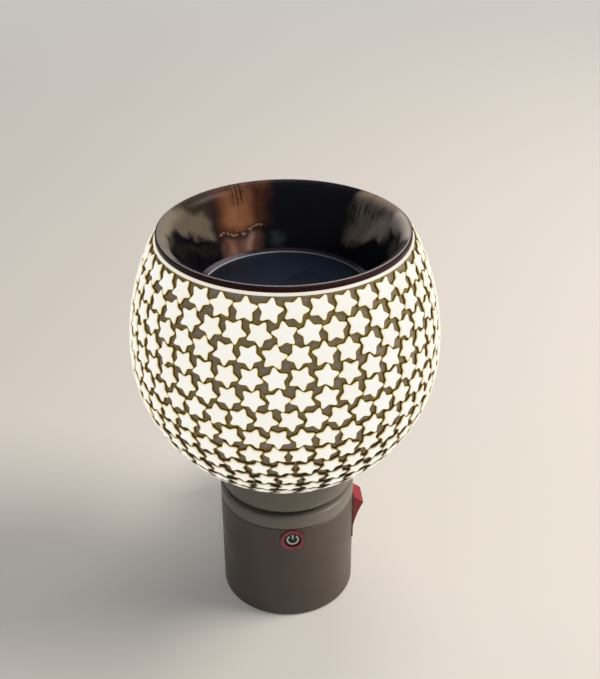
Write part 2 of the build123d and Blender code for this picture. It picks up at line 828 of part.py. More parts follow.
# Rocker switch: frame, red rocker and tabs
pivot_reach = switch_face - rocker_pivot_depth
with BuildPart() as switch_frame:
    with BuildSketch(right_side(switch_flat + sliver, switch_height)):
        RectangleRounded(frame_width + 2 * frame_flange, frame_length + 2 * frame_flange, frame_corner)
    extrude(amount=switch_face - switch_flat - sliver)
    with BuildSketch(right_side(switch_flat + sliver, switch_height)):
        Rectangle(frame_width, frame_length)
    extrude(amount=-frame_depth)
    with BuildSketch(right_side(switch_face, switch_height)):
        Rectangle(frame_width - 2 * frame_wall, frame_length - 2 * frame_wall)
    extrude(amount=-(switch_face - switch_flat + frame_depth - frame_floor), mode=Mode.SUBTRACT)
    pivot_plane = Plane(origin=(pivot_reach, -wall_reach, switch_height - plug_height),
                        x_dir=(1, 0, 0), z_dir=(0, -1, 0))
    with BuildSketch(pivot_plane):
        Circle(pivot_radius + pivot_gap)
    extrude(amount=frame_width / 2, both=True, mode=Mode.SUBTRACT)
save(switch_frame, "switch_frame")

nose = rocker_pivot_depth + rocker_rise
with BuildPart() as rocker:
    lean = math.radians(rocker_tilt)
    with BuildSketch(Plane(origin=pivot_plane.origin, x_dir=(math.cos(lean), 0, -math.sin(lean)),
                           z_dir=(0, -1, 0))):
        with BuildLine():
            nose_top, nose_low = (nose, rocker_nose_length / 2), (nose, -rocker_nose_length / 2)
            heel_top, heel_low = (pivot_radius, rocker_length / 2), (pivot_radius, -rocker_length / 2)
            ThreePointArc(nose_top, (nose - rocker_hollow, 0), nose_low)
            Line(nose_low, heel_low)
            ThreePointArc(heel_low, (-rocker_belly, 0), heel_top)
            Line(heel_top, nose_top)
        make_face()
    extrude(amount=rocker_width / 2, both=True)
    with BuildSketch(pivot_plane):
        Circle(pivot_radius)
    extrude(amount=rocker_width / 2 + switch_gap + pivot_length, both=True)
save(rocker, "rocker")

with BuildPart() as switch_tabs:
    with BuildSketch(right_side(switch_flat + sliver - frame_depth, switch_height)):
        with Locations((0, -tab_pitch / 2), (0, tab_pitch / 2)):
            Rectangle(tab_width, tab_thick)
    extrude(amount=-tab_length)
save(switch_tabs, "switch_tabs")

# Power button: red ring lens, button with its stem, tact switch and plunger
with BuildPart() as button_ring:
    with BuildSketch(front(button_flat + sliver, button_height)):
        Circle(ring_radius)
    extrude(amount=ring_flange)
    with BuildSketch(front(button_flat + sliver, button_height)):
        Circle(ring_barrel_radius)
    extrude(amount=-ring_depth)
    with BuildSketch(front(button_flat + overrun, button_height)):
        Circle(ring_bore_radius)
    extrude(amount=-2 * overrun, mode=Mode.SUBTRACT)
save(button_ring, "button_ring")

ring_back = button_flat - ring_depth
tact_face = board_face + tact_depth
plunger_tip = tact_face + button_travel + sliver
with BuildPart() as power_button:
    with BuildSketch(front(ring_back, button_height)):
        Circle(button_radius)
    extrude(amount=button_face - ring_back)
    with BuildSketch(front(ring_back, button_height)):
        Circle(button_flange_radius)
    extrude(amount=-button_flange_thick)
    with BuildSketch(front(plunger_tip + sliver, button_height)):
        Circle(button_stem_radius)
    extrude(amount=ring_back - plunger_tip - sliver)
save(power_button, "power_button")

with BuildPart() as tact_plunger:
    with BuildSketch(front(plunger_tip, button_height)):
        Circle(plunger_radius)
    extrude(amount=-(tact_bore_depth - button_travel))
save(tact_plunger, "tact_plunger")

with BuildPart() as tact_switch:
    with BuildSketch(front(board_face + sliver, button_height)):
        Rectangle(tact_size, tact_size)
        Circle(tact_bore_radius, mode=Mode.SUBTRACT)
    extrude(amount=tact_depth - sliver)
save(tact_switch, "tact_switch")

# Control board with its indicator and capacitor
with BuildPart() as control_board:
    with BuildSketch(front(board_face, board_bottom)):
        Rectangle(2 * board_half_width, board_height, align=(Align.CENTER, Align.MIN))
        with Locations((-post_spread, post_rise), (post_spread, post_rise)):
            Circle(board_screw_radius + sliver, mode=Mode.SUBTRACT)
    extrude(amount=-board_thick)
save(control_board, "control_board")

with BuildPart() as board_screws:
    for spread in (-post_spread, post_spread):
        with BuildSketch(front(board_face - board_thick, post_height)):
            with Locations((spread, 0)):
                Circle(board_screw_head)
        extrude(amount=-board_screw_head_thick)
        with BuildSketch(front(board_face - board_thick, post_height)):
            with Locations((spread, 0)):
                Circle(board_screw_radius)
        extrude(amount=board_screw_length)
save(board_screws, "board_screws")

with BuildPart() as indicator_led:
    with BuildSketch(front(board_face, board_bottom + led_rise)):
        Circle(led_radius)
    extrude(amount=led_length)
    fillet(indicator_led.faces().sort_by(Axis.Y)[0].edges(), led_radius * led_round_share)
save(indicator_led, "indicator_led")

capacitor_level = switch_height - capacitor_drop
with BuildPart() as film_capacitor:
    with BuildSketch(front(board_face - board_thick, capacitor_level)):
        RectangleRounded(capacitor_width, capacitor_height, terminal_thick)
    extrude(amount=-capacitor_depth)
save(film_capacitor, "film_capacitor")

# Plug head: turns in the barrel's lip, held in by a retainer plate
flange_face = barrel_lip + head_gap / 2
flange_back = flange_face + head_flange_thick
hub_back = flange_back + head_hub_length
with BuildPart() as plug_head:
    with BuildSketch(Plane.XY):
        with BuildLine():
            Polyline((0, -head_recess), (head_radius, -head_recess), (head_radius, -flange_face),
                     (head_flange_radius, -flange_face), (head_flange_radius, -flange_back),
                     (head_hub_radius, -flange_back), (head_hub_radius, -hub_back),
                     (0, -hub_back), (0, -head_recess))
        make_face()
    revolve(axis=Axis.Y)
    with BuildSketch(behind(0)):
        with GridLocations(blade_spacing, 0, 2, 1):
            Rectangle(blade_thick + 2 * blade_gap, blade_width + 2 * blade_gap)
    extrude(amount=-(hub_back + overrun), mode=Mode.SUBTRACT)
save(plug_head, "plug_head")

# Flat blades with rounded tips and a locking hole
with BuildPart() as plug_blades:
    with BuildSketch(Plane.YZ.offset(blade_spacing / 2 - blade_thick / 2)):
        with BuildLine():
            half = blade_width / 2
            tail = -hub_back
            Polyline((tail, -half), (blade_reach - blade_tip, -half), (blade_reach, -half + blade_tip),
                     (blade_reach, half - blade_tip), (blade_reach - blade_tip, half), (tail, half),
                     (tail, -half))
        make_face()
        with Locations((blade_hole_reach, 0)):
            Circle(blade_hole_radius, mode=Mode.SUBTRACT)
    extrude(amount=blade_thick)
    tip_edges = plug_blades.faces().sort_by(Axis.Y)[-1].edges().filter_by(Axis.Z)
    chamfer(tip_edges, blade_taper)
    mirror(about=Plane.YZ)
save(plug_blades, "plug_blades")

# Two slip rings on the hub's back, each with a tab to its own blade
slip_back = hub_back + sliver + slip_thick
outer_brush = slip_outer_radius - slip_width / 2
inner_brush = slip_inner_radius - slip_width / 2
with BuildPart() as slip_rings:
    for brush_radius, blade_side in ((outer_brush, 1), (inner_brush, -1)):
        with BuildSketch(behind(slip_back)):
            Circle(brush_radius + slip_width / 2)
            Circle(brush_radius - slip_width / 2, mode=Mode.SUBTRACT)
            with Locations((-blade_side * (brush_radius + blade_spacing / 2) / 2, 0)):
                Rectangle(abs(brush_radius - blade_spacing / 2), slip_tab_width)
        extrude(amount=slip_thick)
save(slip_rings, "slip_rings")

retainer_face = flange_back + retainer_gap
with BuildPart() as plug_retainer:
    with BuildSketch(behind(retainer_face)):
        Circle(barrel_bore - head_gap)
        Circle(head_hub_radius + retainer_gap, mode=Mode.SUBTRACT)
    extrude(amount=-retainer_thick)
save(plug_retainer, "plug_retainer")

# Contact block and its two spring brushes behind the slip rings
block_face = slip_back + sliver + brush_length
with BuildPart() as contact_block:
    with BuildSketch(behind(block_face)):
        Circle(barrel_bore - block_gap)
    extrude(amount=-block_thick)
save(contact_block, "contact_block")

with BuildPart() as brush_contacts:
    with BuildSketch(behind(slip_back + sliver)):
        with Locations((0, outer_brush), (0, inner_brush)):
            Rectangle(brush_width, brush_thick)
    extrude(amount=-brush_length)
save(brush_contacts, "brush_contacts")


def lamp_point(x, back, height):
    """Point beside the lamp's axis: to the right, towards the wall, and up from the foot."""
    return x, back - wall_reach, height - plug_height


def wire(*route):
    """A bare-ended wire along straight runs with round bends."""
    with BuildPart() as strand:
        with BuildLine() as path:
            FilletPolyline(*route, radius=wire_bend)
        with BuildSketch(Plane(path.line @ 0, z_dir=path.line % 0)):
            Circle(wire_radius)
        sweep()
    return strand


# Wires: plug to switch, switch to board, board to lamp, lamp to plug
block_back = wall_reach - block_face - block_thick - sliver
tab_end = switch_flat + sliver - frame_depth - tab_length - sliver
board_back = -board_face + board_thick + sliver
terminal_end = holder_bottom - terminal_length - sliver
low_tab = switch_height - tab_pitch / 2
high_tab = switch_height + tab_pitch / 2
live_height = plug_height + inner_brush
lamp_height = capacitor_level + capacitor_height / 2 + wire_radius + 2 * wire_gap
save(wire(lamp_point(0, block_back, live_height), lamp_point(0, block_back / 2, live_height),
          lamp_point(tab_end - live_run, block_back / 3, low_tab), lamp_point(tab_end - live_run, 0, low_tab),
          lamp_point(tab_end, 0, low_tab)), "live_wire")
save(wire(lamp_point(tab_end, 0, high_tab), lamp_point(tab_end - switched_run, 0, high_tab),
          lamp_point(tab_end - switched_run, board_back, high_tab)), "switched_wire")
save(wire(lamp_point(0, board_back, lamp_height), lamp_point(0, -holder_terminal_reach, lamp_height),
          lamp_point(0, -holder_terminal_reach, terminal_end)), "lamp_wire")
save(wire(lamp_point(0, block_back, plug_height + outer_brush),
          lamp_point(0, block_back * 3 / 4, plug_height + outer_brush),
          lamp_point(0, block_back / 2, terminal_end - neutral_rise),
          lamp_point(0, holder_terminal_reach, terminal_end - neutral_rise),
          lamp_point(0, holder_terminal_reach, terminal_end)), "neutral_wire")
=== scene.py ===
import math

import bmesh
import bpy
import numpy as np
from mathutils import Matrix, Vector


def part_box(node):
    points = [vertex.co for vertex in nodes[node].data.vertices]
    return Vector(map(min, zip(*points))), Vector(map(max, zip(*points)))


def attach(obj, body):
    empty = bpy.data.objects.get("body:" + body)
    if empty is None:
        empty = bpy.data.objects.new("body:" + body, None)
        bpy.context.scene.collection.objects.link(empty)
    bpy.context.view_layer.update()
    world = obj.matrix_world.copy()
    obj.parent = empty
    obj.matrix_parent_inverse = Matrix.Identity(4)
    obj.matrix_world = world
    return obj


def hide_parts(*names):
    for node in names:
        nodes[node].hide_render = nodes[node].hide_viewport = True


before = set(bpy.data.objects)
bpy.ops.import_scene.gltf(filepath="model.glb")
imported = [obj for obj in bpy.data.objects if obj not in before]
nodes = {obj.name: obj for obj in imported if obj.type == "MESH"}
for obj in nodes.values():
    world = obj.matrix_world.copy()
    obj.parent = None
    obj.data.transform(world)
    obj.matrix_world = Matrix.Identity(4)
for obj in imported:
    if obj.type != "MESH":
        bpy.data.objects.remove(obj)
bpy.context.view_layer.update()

# Sizes are in millimetres and turned into metres where they are used. Scales of noise are per metre. Angles
# are in degrees. Directions about the lamp's axis are 0 at the right, 90 at the wall and 180 at the left, and
# start at the front with -90
MM = 0.001
FULL_TURN = 360.0
QUARTER_TURN = 90.0
FIRST_TURN = -QUARTER_TURN

# The photograph's camera, about the lamp's own axis
CAMERA_REACH = 303.7
CAMERA_RISE = 277.4
CAMERA_TURN = -4.2
CAMERA_PITCH = 30.505
CAMERA_YAW = 0.895
CAMERA_ROLL = -0.257
CAMERA_NEAR = 10.0
FOCAL_PIXELS = 1093.8
PHOTO_HEIGHT = 679
SENSOR = 36.0

# Ranges that the shaders map numbers from and onto. Most of a noise lies in its middle
UP = (0.0, 1.0)
DOWN = (1.0, 0.0)
NOISE_MIDDLE = (0.3, 0.7)

# A mix node's sockets for colours
COLOUR_A = 6
COLOUR_B = 7
COLOUR_RESULT = 2

# How each kind of surface varies: scale and detail of its tones, scale of its roughness and how far that
# falls and rises, and scale, strength and depth of its grain
PLASTIC = {"tones": (38.0, 4.0), "rough": (90.0, -0.05, 0.06), "grain": (2600.0, 0.25, 0.06)}
POLISHED = {"tones": (60.0, 2.0), "rough": (160.0, -0.03, 0.05), "grain": (420.0, 0.08, 0.1)}
METAL = {"tones": (300.0, 4.0), "rough": (700.0, -0.06, 0.1), "grain": (1800.0, 0.05, 0.04)}
GRAIN_DETAIL = 2.0

# Star tiles: the sharp outline, the angle over which its tips are rounded, and rings of points from a tile's
# foot up to its crown, each with its share of the outline and its height
STAR_TIPS = 5
TIP_REACH = 4.4
VALLEY_REACH = 2.35
TIP_ROUNDING = 7.5
ROUNDING_SAMPLES = 7
OUTLINE_POINTS = 60
TILE_RINGS = ((1.0, -0.15), (1.0, 0.5), (0.97, 0.8), (0.89, 1.02), (0.68, 1.18), (0.35, 1.27))
TILE_CROWN = 1.29

# Reading the CAD tiles: how near two points are the same, and how thick a tile's foot is taken
SAME_POINT = 0.005
FOOT_SLACK = 0.1

# A lit tile's tones from its foot to its crown, a painted glow with painted shade down its side, at the
# equator and above, and in the lowest rows, where the painted shade also reaches further up its side
TILE_STOPS = (0.0, 0.22, 0.42, 0.56, 0.67, 0.77, 0.88)
TILE_TONES = ("140b06", "2c1f0e", "54421c", "93803e", "eddcaa", "fdf6e4", "fffdf8")
LOW_TILE_TONES = ("0a0603", "1c150c", "3a3123", "736a58", "d8d0bf", "faf5ea", "fffdf8")
LOW_ROWS = (0.1, 0.7)
LOW_ROW_SHADE = 0.28

# How much milkier a tile gets in places, how much one tile differs from another, and the step that gives
# neighbours different tones
MILKY_SHARE = 0.15
TINT_SHARE = 0.3
TINT_STEP_SHARE = 0.61803

# Share of a lit surface's colour that the studio's light shades, beside its own glow
LIT_SHARE = (0.07, 0.07, 0.07, 1.0)

# Wax dish: its floor over its foot, its ledge over its floor, its wall's top under its lip's top, and the
# width of its lip
FLOOR_RISE = 2.8
LEDGE_RISE = 0.8
WALL_DROP = 2.7
LIP_WIDTH = 1.0

# Where the next part of the dish's glaze begins, as distances from the floor's top, where a painted highlight
# ring begins, from the ledge's top twice, and from the lip's outer edge
FLOOR_HIGHLIGHT_EDGE = (0.1, 0.3)
LEDGE_EDGE = (-0.25, -0.1)
WALL_EDGE = (0.05, 0.4)
LIP_EDGE = (-1.1, -0.8)
# The lip's tones from inside out: a painted highlight on its sloped inner edge, a dark line, and its maroon
# side
LIP_STOPS = (0.0, 0.2, 0.42, 0.58, 0.92, 0.99)
LIP_TONES = ("4a464b", "a29a9f", "8d8589", "0a0405", "0d0405", "35181a")

# The ledge's painted highlights
LEDGE_HIGHLIGHTS = ((114.0, 152.0), (-12.0, 22.0))
LEDGE_HIGHLIGHT_SOFT = 8.0

# How far a surface of the dish faces outwards, or downwards, where the plain glaze of its outside begins
OUTSIDE_FACING = (0.1, 0.2)
UNDERSIDE_FACING = (-0.5, -0.3)

# Painted reflections in the wall's glaze, as clouds of brown, copper, grey and dark. Each has its first and
# last direction about the axis, its lowest and highest share of the wall, how far both shares rise with each
# degree, its tone and how strongly the fine streaks break it up
PAINTED_REFLECTIONS = (
    (130.0, 156.0, 0.8, 1.5, 0.0, "2f271d", 0.3),
    (133.0, 205.0, 0.34, 0.8, 0.0177, "6a6156", 0.2),
    (156.0, 210.0, 1.02, 1.6, 0.0, "777268", 0.1),
    (170.0, 181.0, 0.86, 0.98, 0.0, "3a3d30", 0.1),
    (134.0, 176.0, 0.1, 0.26, 0.012, "1b1a17", 0.2),
    (95.0, 128.0, 0.38, 1.3, 0.0, "4a2b1e", 0.8),
    (104.0, 122.0, 0.42, 1.06, 0.0, "80543b", 0.9),
    (109.0, 118.0, 0.5, 0.82, 0.0, "93684b", 0.2),
    (99.0, 128.0, -0.1, 0.28, 0.0, "5f4238", 0.2),
    (107.0, 111.0, 0.04, 0.27, 0.0, "b08f86", 0.0),
    (117.5, 121.5, 0.02, 0.22, 0.0, "9a7066", 0.0),
    (87.0, 92.0, 0.06, 0.28, 0.0, "3a4844", 0.0),
    (8.0, 42.0, 0.68, 1.6, -0.012, "988c81", 1.0),
    (13.0, 30.0, 0.62, 1.0, -0.01, "bdb1a6", 0.7),
    (-15.0, 14.0, 0.96, 1.5, 0.0, "cbc3bb", 0.1),
    (-16.0, -1.0, 0.6, 0.84, 0.0, "55534c", 0.1),
    (-80.0, -15.0, 0.7, 1.2, 0.0, "2c2826", 0.2),
    (220.0, 262.0, 0.2, 0.9, 0.0, "1f1a19", 0.4),
)
REFLECTION_SOFT_TURN = 4.2
REFLECTION_SOFT_SHARE = 0.09

# How far noise moves the painted reflections' edges, and up to which share of the wall's height they are told
# apart
EDGE_NOISE = (0.2, 0.8)
EDGE_TURN = 4.5
EDGE_SHARE = 0.09
WALL_SPAN_SHARE = 1.5

# Fine streaks up the wall that break up the painted reflections: how close they lie, and where they gather
STREAKS_PER_DEGREE = 0.8
STREAKS_PER_METRE = 60.0
STREAK_NOISE = (0.42, 0.6)
CLUSTER_NOISE = (0.46, 0.6)
CLUSTER_SHARES = (0.15, 1.0)
STREAKED_SHARES = (0.5, 0.85)

# A thin line of painted glints in the painted copper reflection
GLINT_SHARE = 0.36
GLINT_HALF_SHARE = 0.025
GLINT_SOFT_SHARE = 0.02
GLINT_TURNS = (99.0, 129.0)
GLINT_SOFT_TURN = 2.0
GLINT_NOISE = (0.48, 0.58)
GLINT_COVER = (0.0, 0.9)

# Grout between the tiles: its thickness over the glass, its lowest and highest latitude, its grid of points,
# the distance from a tile at which its tone no longer changes, the least radius that the search for points
# round a tile reckons with, and how far out the rays start that find the glass
GROUT_DEPTH = 0.32
GROUT_LOW = -62.0
GROUT_HIGH = 42.6
GROUT_ROWS = 220
GROUT_COLUMNS = 760
ROOM_LIMIT = 2.0
LEAST_RADIUS = 4.0
RAY_START_SHARE = 1.5

# The grout's tones from a tile's side, where the narrow gaps are dark with painted shade, to the middle of a
# wide patch, how far noise moves them, how painted shade darkens it between two heights over the globe's
# foot, and its speckles
GROUT_STOPS = (0.1, 0.16, 0.24, 0.34, 0.44, 0.8)
GROUT_TONES = ("261a0a", "4c3c16", "8c7b36", "76693f", "70645a", "7e746b")
GROUT_WOBBLE = 0.16
FOOT_SHADE_RISES = (8.0, 40.0)
FOOT_SHADE_SHARES = (0.6, 0.0)
SPECKLE_NOISE = (0.35, 0.7)
SPECKLE_SHARES = (0.0, 0.45)

# Power symbol on the round button
SYMBOL_RADIUS = 1.8
SYMBOL_STROKE = 0.52
SYMBOL_GAP = 38.0
SYMBOL_RAISE = 0.06
SYMBOL_STEPS = 48
BAR_START_SHARE = 0.15

# Studio: the floor's size and its glow from near to far, the world's strength as light and what is added
# where it is seen, and soft round lamps. Each lamp has its direction from the front towards the right, its
# elevation, distance, width, power in watts and tint, and is aimed at one height over the foot
FLOOR_SIZE = 8000.0
FLOOR_GLOW_REACH = (200.0, 1500.0)
FLOOR_GLOW = (0.2, 0.7)
WORLD_LIGHT = 0.24
WORLD_SEEN = 0.75
LAMP_AIM = 70.0
LAMPS = (
    ("key", 86.0, 44.0, 900.0, 500.0, 7.4, "fff3e6"),
    ("fill", -50.0, 40.0, 1000.0, 700.0, 0.25, "eef3ff"),
    ("back", 150.0, 65.0, 900.0, 500.0, 2.2, "fff0e4"),
)


def lamp_axis():
    """Place of the lamp's own axis, level with the foot."""
    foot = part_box("base_body")[0][2]
    low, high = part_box("shade_seat")
    return Vector(((low[0] + high[0]) / 2, (low[1] + high[1]) / 2, foot))


AXIS = lamp_axis()


# Shader helpers


def srgb(code):
    """Linear colour of a six-figure hex code."""
    parts = [int(code[i:i + 2], 16) / 255 for i in (0, 2, 4)]
    return tuple(c / 12.92 if c <= 0.04045 else ((c + 0.055) / 1.055) ** 2.4 for c in parts) + (1.0,)


def new_material(name, **values):
    """A material whose shader has these values on its own sockets."""
    material = bpy.data.materials.new(name)
    material.use_nodes = True
    shader = material.node_tree.nodes["Principled BSDF"]
    for socket, value in values.items():
        shader.inputs[socket.replace("_", " ")].default_value = value
    return material, material.node_tree, shader


def place(tree):
    """The object's own coordinates."""
    return tree.nodes.new("ShaderNodeTexCoord").outputs["Object"]


def noise(tree, scale, detail=3.0, source=None):
    """A noise over the object, or over another vector."""
    node = tree.nodes.new("ShaderNodeTexNoise")
    node.inputs["Scale"].default_value = scale
    node.inputs["Detail"].default_value = detail
    tree.links.new(place(tree) if source is None else source, node.inputs["Vector"])
    return node.outputs["Fac"]


def ramp(tree, source, stops, tones):
    """A colour ramp with a tone at each stop."""
    node = tree.nodes.new("ShaderNodeValToRGB")
    elements = node.color_ramp.elements
    while len(elements) < len(stops):
        elements.new(0.5)
    for element, stop, tone in zip(elements, stops, tones):
        element.position = stop
        element.color = srgb(tone)
    tree.links.new(source, node.inputs["Fac"])
    return node.outputs["Color"]


def two_tones(tree, dark, light, scale, detail=3.0):
    """A colour that drifts between two tones."""
    return ramp(tree, noise(tree, scale, detail), NOISE_MIDDLE, (dark, light))


def mix(tree, factor, first, second, mode="MIX"):
    """Mixes two colours, each a socket or a colour, by a factor socket or number."""
    node = tree.nodes.new("ShaderNodeMix")
    node.data_type = "RGBA"
    node.blend_type = mode
    sockets = (node.inputs["Factor"], node.inputs[COLOUR_A], node.inputs[COLOUR_B])
    for socket, value in zip(sockets, (factor, first, second)):
        if isinstance(value, bpy.types.NodeSocket):
            tree.links.new(value, socket)
        else:
            socket.default_value = value
    return node.outputs[COLOUR_RESULT]


def spread(tree, source, old, new, smooth=True):
    """Maps one range of a number onto another, and holds it at the ends."""
    node = tree.nodes.new("ShaderNodeMapRange")
    node.interpolation_type = "SMOOTHSTEP" if smooth else "LINEAR"
    for name, value in zip(("From Min", "From Max", "To Min", "To Max"), (*old, *new)):
        node.inputs[name].default_value = value
    tree.links.new(source, node.inputs["Value"])
    return node.outputs["Result"]


def beyond(tree, source, base, edge):
    """Nothing before an edge and one after it. The edge lies at two distances from a base."""
    return spread(tree, source, [base + distance * MM for distance in edge], UP)


def window(tree, source, low, high, soft):
    """One between two values of a number, with a soft fall to nothing at each end."""
    start = spread(tree, source, (low - soft, low + soft), UP)
    end = spread(tree, source, (high - soft, high + soft), DOWN)
    return math_node(tree, "MULTIPLY", start, end)


def attribute(tree, name):
    """A number that the mesh carries on its points."""
    node = tree.nodes.new("ShaderNodeAttribute")
    node.attribute_name = name
    return node.outputs["Fac"]


def math_node(tree, operation, first, second):
    """One step of arithmetic, each input a socket or a number."""
    node = tree.nodes.new("ShaderNodeMath")
    node.operation = operation
    for socket, value in zip(node.inputs, (first, second)):
        if isinstance(value, bpy.types.NodeSocket):
            tree.links.new(value, socket)
        else:
            socket.default_value = value
    return node.outputs["Value"]


def vector_node(tree, operation, *vectors):
    """One step of arithmetic with vectors that gives a number."""
    node = tree.nodes.new("ShaderNodeVectorMath")
    node.operation = operation
    for socket, vector in zip(node.inputs, vectors):
        tree.links.new(vector, socket)
    return node.outputs["Value"]


def part_of(tree, vector, letter):
    """One coordinate of a vector."""
    node = tree.nodes.new("ShaderNodeSeparateXYZ")
    tree.links.new(vector, node.inputs["Vector"])
    return node.outputs[letter]


def flat_vector(tree, x, y):
    """A vector of two coordinates."""
    node = tree.nodes.new("ShaderNodeCombineXYZ")
    tree.links.new(x, node.inputs["X"])
    tree.links.new(y, node.inputs["Y"])
    return node.outputs["Vector"]


def from_axis(tree):
    """Distances from the lamp's own axis along X and Y."""
    return [math_node(tree, "SUBTRACT", part_of(tree, place(tree), letter), centre)
            for letter, centre in (("X", AXIS.x), ("Y", AXIS.y))]


def turn_about_axis(tree):
    """Direction about the lamp's axis, from FIRST_TURN over one full turn."""
    x, y = from_axis(tree)
    turn = math_node(tree, "MULTIPLY", math_node(tree, "ARCTAN2", y, x), math.degrees(1))
    past_first = math_node(tree, "FLOORED_MODULO", math_node(tree, "SUBTRACT", turn, FIRST_TURN), FULL_TURN)
    return math_node(tree, "ADD", past_first, FIRST_TURN)


def bump(tree, shader, height, strength, depth):
    """Fine relief by a number, with its depth in millimetres."""
    node = tree.nodes.new("ShaderNodeBump")
    node.inputs["Strength"].default_value = strength
    node.inputs["Distance"].default_value = depth * MM
    tree.links.new(height, node.inputs["Height"])
    tree.links.new(node.outputs["Normal"], shader.inputs["Normal"])


def uneven_roughness(tree, shader, scale, low, high):
    """Lets a noise vary the roughness between two values."""
    rough = spread(tree, noise(tree, scale), NOISE_MIDDLE, (low, high))
    tree.links.new(rough, shader.inputs["Roughness"])


def glow(tree, shader, colour, shaded):
    """Gives a surface the colour of its own light, and the colour that the studio's light shades."""
    tree.links.new(colour, shader.inputs["Emission Color"])
    tree.links.new(shaded, shader.inputs["Base Color"])


# Plain materials


def surface(kind, name, dark, light, roughness, **values):
    """A surface of one kind: two tones, uneven roughness and fine grain."""
    material, tree, shader = new_material(name, **values)
    tree.links.new(two_tones(tree, dark, light, *kind["tones"]), shader.inputs["Base Color"])
    scale, fall, gain = kind["rough"]
    uneven_roughness(tree, shader, scale, roughness + fall, roughness + gain)
    scale, strength, depth = kind["grain"]
    bump(tree, shader, noise(tree, scale, GRAIN_DETAIL), strength, depth)
    return material


def plastic(name, dark, light, roughness):
    """Moulded plastic: slow tone changes, a fine spark-eroded grain and uneven gloss."""
    return surface(PLASTIC, name, dark, light, roughness, Specular_IOR_Level=0.4)


def gloss(name, dark, light, roughness, coat=0.4):
    """Polished plastic or enamel with faint flow marks."""
    return surface(POLISHED, name, dark, light, roughness, Coat_Weight=coat, Coat_Roughness=0.06)


def metal(name, dark, light, roughness):
    """Plated metal with fine drawn lines and a little tarnish."""
    return surface(METAL, name, dark, light, roughness, Metallic=1.0)


def lens(name, dark, light, light_behind):
    """Coloured translucent plastic with a little light behind it."""
    material, tree, shader = new_material(name, Roughness=0.22, Emission_Strength=light_behind,
                                          Coat_Weight=0.5, Subsurface_Weight=0.2,
                                          Subsurface_Scale=1.0 * MM)
    colour = two_tones(tree, dark, light, scale=500.0, detail=2.0)
    glow(tree, shader, colour, colour)
    return material


def bulb_glass():
    """Clear glass, a little uneven."""
    material, tree, shader = new_material("bulb_clear", Transmission_Weight=1.0, IOR=1.46)
    uneven_roughness(tree, shader, scale=200.0, low=0.02, high=0.08)
    tree.links.new(two_tones(tree, "fff6e2", "ffffff", scale=30.0), shader.inputs["Base Color"])
    return material


def filament_glow():
    """Glowing tungsten."""
    material, tree, shader = new_material("filament_glow", Emission_Strength=4.0)
    colour = two_tones(tree, "ffc36b", "ffe9bd", scale=900.0)
    glow(tree, shader, colour, colour)
    return material


# Materials of the lit globe


def star_glass():
    """Opal tile with a painted glow for the light behind it: white on top, cream at its edge and olive in
    painted shade down its side.
    """
    material, tree, shader = new_material("star_opal", Roughness=0.4, Emission_Strength=0.91,
                                          Specular_IOR_Level=0.25)
    crown = attribute(tree, "crown")
    low_row = spread(tree, attribute(tree, "lowness"), LOW_ROWS, UP)
    face = mix(tree, low_row, ramp(tree, crown, TILE_STOPS, TILE_TONES),
               ramp(tree, crown, TILE_STOPS, LOW_TILE_TONES))
    milk = spread(tree, noise(tree, scale=700.0), NOISE_MIDDLE, (0.0, MILKY_SHARE))
    milky = mix(tree, milk, face, srgb("f6eeda"), "MULTIPLY")
    tint = spread(tree, attribute(tree, "tone"), UP, (0.0, TINT_SHARE))
    tinted = mix(tree, tint, milky, srgb("faf4e6"), "MULTIPLY")
    glow(tree, shader, tinted, mix(tree, 1.0, tinted, LIT_SHARE, "MULTIPLY"))
    bump(tree, shader, noise(tree, scale=900.0, detail=2.0), strength=0.12, depth=0.1)
    return material


def grout():
    """Grout with a painted glow: dark with painted shade and olive beside the tiles, grey-brown in the wider
    patches, and darker towards the foot with painted shade.
    """
    material, tree, shader = new_material("grout_earth", Roughness=0.75, Emission_Strength=0.58,
                                          Specular_IOR_Level=0.2)
    wobble = math_node(tree, "MULTIPLY", noise(tree, scale=1500.0), GROUT_WOBBLE)
    room = math_node(tree, "ADD", attribute(tree, "room"), wobble)
    # Next to the tiles the grout is dark with painted shade in the narrow gaps
    earth = ramp(tree, room, GROUT_STOPS, GROUT_TONES)
    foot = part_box("shade_globe")[0][2]
    height = part_of(tree, place(tree), "Z")
    # Painted shade darkens the grout towards the globe's foot
    foot_shade = spread(tree, height, [foot + rise * MM for rise in FOOT_SHADE_RISES], FOOT_SHADE_SHARES)
    foot_shaded = mix(tree, foot_shade, earth, srgb("1e160d"))
    speckles = spread(tree, noise(tree, scale=2200.0, detail=4.0), SPECKLE_NOISE, SPECKLE_SHARES)
    speckled = mix(tree, speckles, foot_shaded, srgb("55493c"))
    # The grout gets a painted glow in its own colour
    glow(tree, shader, speckled, speckled)
    bump(tree, shader, noise(tree, scale=1300.0, detail=4.0), strength=0.5, depth=0.15)
    return material


def globe_glass():
    """The lit glass of the globe, seen at its beaded mouth and inside."""
    material, tree, shader = new_material("globe_lit", Roughness=0.3, Emission_Strength=0.82,
                                          Coat_Weight=0.2, Coat_Roughness=0.08)
    colour = two_tones(tree, "fdf3de", "fff9ee", scale=55.0)
    glow(tree, shader, colour, mix(tree, 1.0, colour, LIT_SHARE, "MULTIPLY"))
    bump(tree, shader, noise(tree, scale=140.0, detail=2.0), strength=0.1, depth=0.3)
    return material


# Material of the wax dish


def dish_streaks(tree, turn, height, rise):
    """Fine streaks up the wall, and the same where they gather in clusters high on the wall."""
    along = flat_vector(tree, math_node(tree, "MULTIPLY", turn, STREAKS_PER_DEGREE),
                        math_node(tree, "MULTIPLY", height, STREAKS_PER_METRE))
    fine = noise(tree, scale=1.0, source=along)
    clusters = spread(tree, noise(tree, scale=190.0, detail=1.0), CLUSTER_NOISE, CLUSTER_SHARES)
    gathered = math_node(tree, "MULTIPLY", clusters, spread(tree, rise, STREAKED_SHARES, UP))
    return fine, math_node(tree, "MULTIPLY", spread(tree, fine, STREAK_NOISE, UP), gathered)


